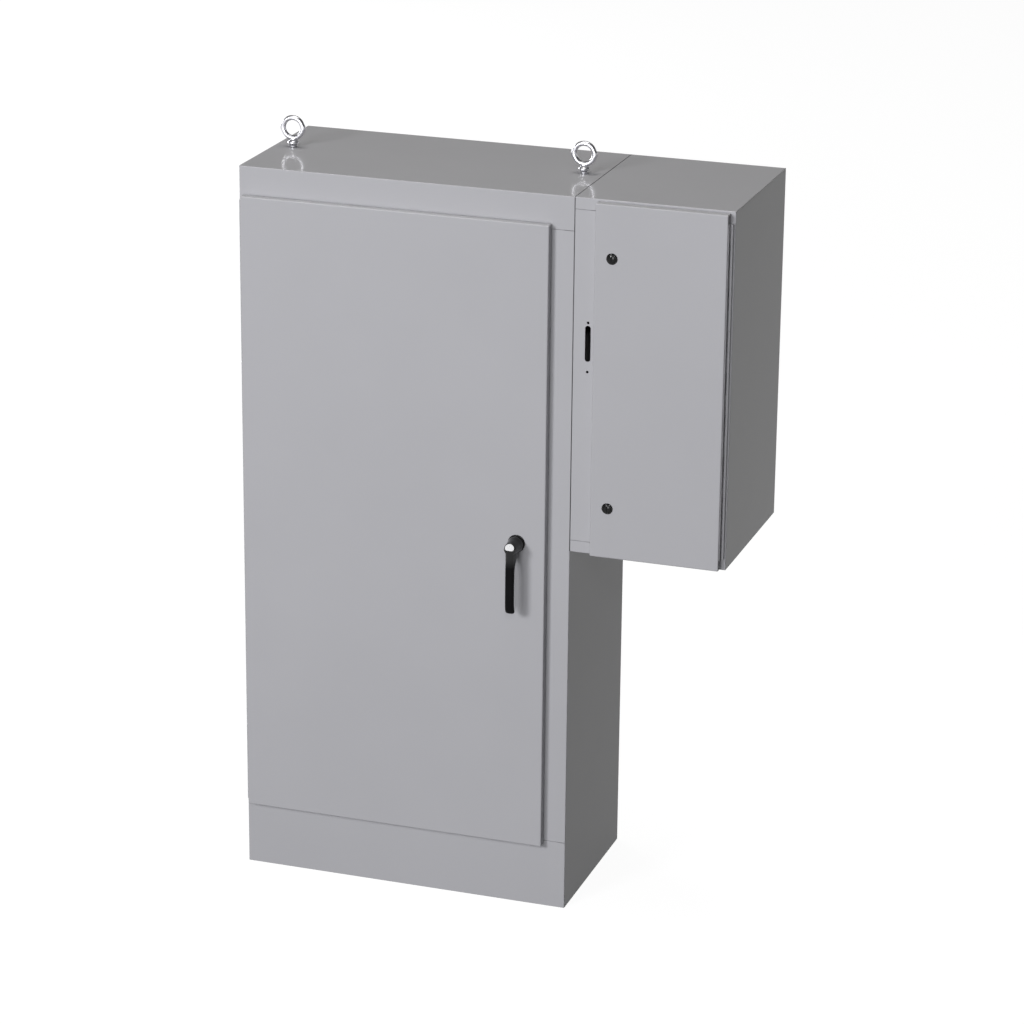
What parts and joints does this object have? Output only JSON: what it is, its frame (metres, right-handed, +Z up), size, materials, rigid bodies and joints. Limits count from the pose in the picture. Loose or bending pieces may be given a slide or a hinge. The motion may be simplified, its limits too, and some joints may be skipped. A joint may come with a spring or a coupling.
{
  "type": "dc combiner box",
  "caption": "Floor-standing steel DC combiner cabinet with a latched main door and a disconnect box on its upper right side.",
  "frame": {"origin": "centre of the main cabinet's floor bolt pattern, on the floor", "axes": "+X to the right as seen from the doors, +Y to the back wall, +Z up"},
  "size_m": [1.243, 0.5294, 1.9116],
  "materials": {
    "powder_coat": "light grey powder coat, satin to gloss",
    "inner_steel": "white enamel",
    "zinc_steel": "zinc plated",
    "bright_steel": "bright plated",
    "black_gloss": "gloss black",
    "black_grip": "satin black powder coat on die-cast metal",
    "foam": "closed-cell foam",
    "nylon": "natural nylon",
    "moulding": "moulded black",
    "arrester_case": "moulded grey",
    "insulator_red": "moulded red glass polyester",
    "fuse_body": "ceramic-look tube with plated caps",
    "copper": "bare copper",
    "tinned": "tinned aluminium"
  },
  "bodies": {
    "enclosure": {"cabinet_roof": "powder_coat", "cabinet_floor": "powder_coat", "cabinet_left_wall": "powder_coat", "cabinet_right_wall": "powder_coat", "cabinet_back_wall": "powder_coat", "side_box_roof": "powder_coat", "side_box_floor": "powder_coat", "side_box_left_wall": "powder_coat", "side_box_right_wall": "powder_coat", "side_box_back_wall": "powder_coat", "main_hinge_body_leaf": "powder_coat", "side_hinge_body_leaf": "powder_coat", "main_mounting_panel": "inner_steel", "side_mounting_panel": "inner_steel", "main_hinge_pin": "zinc_steel", "side_hinge_pin": "zinc_steel", "panel_studs": "zinc_steel", "m8_bolts": "zinc_steel", "m8_nuts": "zinc_steel", "din_rail": "zinc_steel", "gland_plate": "zinc_steel", "lifting_eye_nuts": "zinc_steel", "lifting_eyes": "bright_steel", "switch_body": "moulding", "fuse_bases": "moulding", "surge_arresters": "arrester_case", "insulators": "insulator_red", "string_fuses": "fuse_body", "positive_busbar": "copper", "negative_busbar": "copper", "feeder_positive": "copper", "feeder_negative": "copper", "copper_straps": "copper", "ground_bar": "copper", "fuse_clips": "copper", "wire_lugs": "tinned"},
    "main_door": {"main_door_panel": "powder_coat", "main_door_gasket": "foam", "main_door_stiffeners": "powder_coat", "main_hinge_door_leaf": "powder_coat", "handle_rose": "black_gloss", "latch_bearing": "zinc_steel", "rod_guides": "zinc_steel"},
    "door_handle_set": {"door_handle": "black_grip", "latch_shaft": "zinc_steel", "latch_cam": "zinc_steel"},
    "upper_rod": {"upper_latch_rod": "zinc_steel"},
    "lower_rod": {"lower_latch_rod": "zinc_steel"},
    "upper_rod_roller": {"upper_roller": "nylon"},
    "lower_rod_roller": {"lower_roller": "nylon"},
    "side_door": {"side_door_panel": "powder_coat", "side_door_gasket": "foam", "side_hinge_door_leaf": "powder_coat", "latch_housings": "black_gloss", "latch_nuts": "zinc_steel"},
    "upper_quarter_turn": {"upper_turn_core": "black_gloss", "upper_turn_cam": "zinc_steel"},
    "lower_quarter_turn": {"lower_turn_core": "black_gloss", "lower_turn_cam": "zinc_steel"},
    "toggle": {"switch_toggle": "moulding"}
  },
  "joints": [
    {"name": "main_door_swing", "type": "hinge", "parent": "enclosure", "child": "main_door", "pos_m": [-0.42125, -0.23025, 0.963], "axis": [0, 0, -1], "range_deg": [0, 120]},
    {"name": "handle_turn", "type": "hinge", "parent": "main_door", "child": "door_handle_set", "pos_m": [0.298, -0.25, 0.962], "axis": [0, 1, 0], "range_deg": [0, 90]},
    {"name": "upper_rod_slide", "type": "slide", "parent": "main_door", "child": "upper_rod", "axis": [0, 0, 1], "range_m": [0, 0.0312]},
    {"name": "lower_rod_slide", "type": "slide", "parent": "main_door", "child": "lower_rod", "axis": [0, 0, -1], "range_m": [0, 0.0312]},
    {"name": "upper_roller_spin", "type": "hinge", "parent": "upper_rod", "child": "upper_rod_roller", "pos_m": [0.28052, -0.214, 1.739], "axis": [1, 0, 0], "continuous": true},
    {"name": "lower_roller_spin", "type": "hinge", "parent": "lower_rod", "child": "lower_rod_roller", "pos_m": [0.31808, -0.214, 0.187], "axis": [1, 0, 0], "continuous": true},
    {"name": "side_door_swing", "type": "hinge", "parent": "enclosure", "child": "side_door", "pos_m": [0.81025, -0.23025, 1.391], "axis": [0, 0, 1], "range_deg": [0, 120]},
    {"name": "upper_quarter_turn_spin", "type": "hinge", "parent": "side_door", "child": "upper_quarter_turn", "pos_m": [0.526, -0.24, 1.6965], "axis": [0, 1, 0], "range_deg": [0, 90]},
    {"name": "lower_quarter_turn_spin", "type": "hinge", "parent": "side_door", "child": "lower_quarter_turn", "pos_m": [0.526, -0.24, 1.078], "axis": [0, 1, 0], "range_deg": [0, 90]},
    {"name": "toggle_throw", "type": "hinge", "parent": "enclosure", "child": "toggle", "pos_m": [0.6215, 0.1035, 1.43], "axis": [-1, 0, 0], "range_deg": [0, 40]}
  ],
  "couplings": [
    {"joint": "upper_rod_slide", "follows": "handle_turn", "m_per_rad": 0.0198},
    {"joint": "lower_rod_slide", "follows": "handle_turn", "m_per_rad": 0.0198}
  ]
}
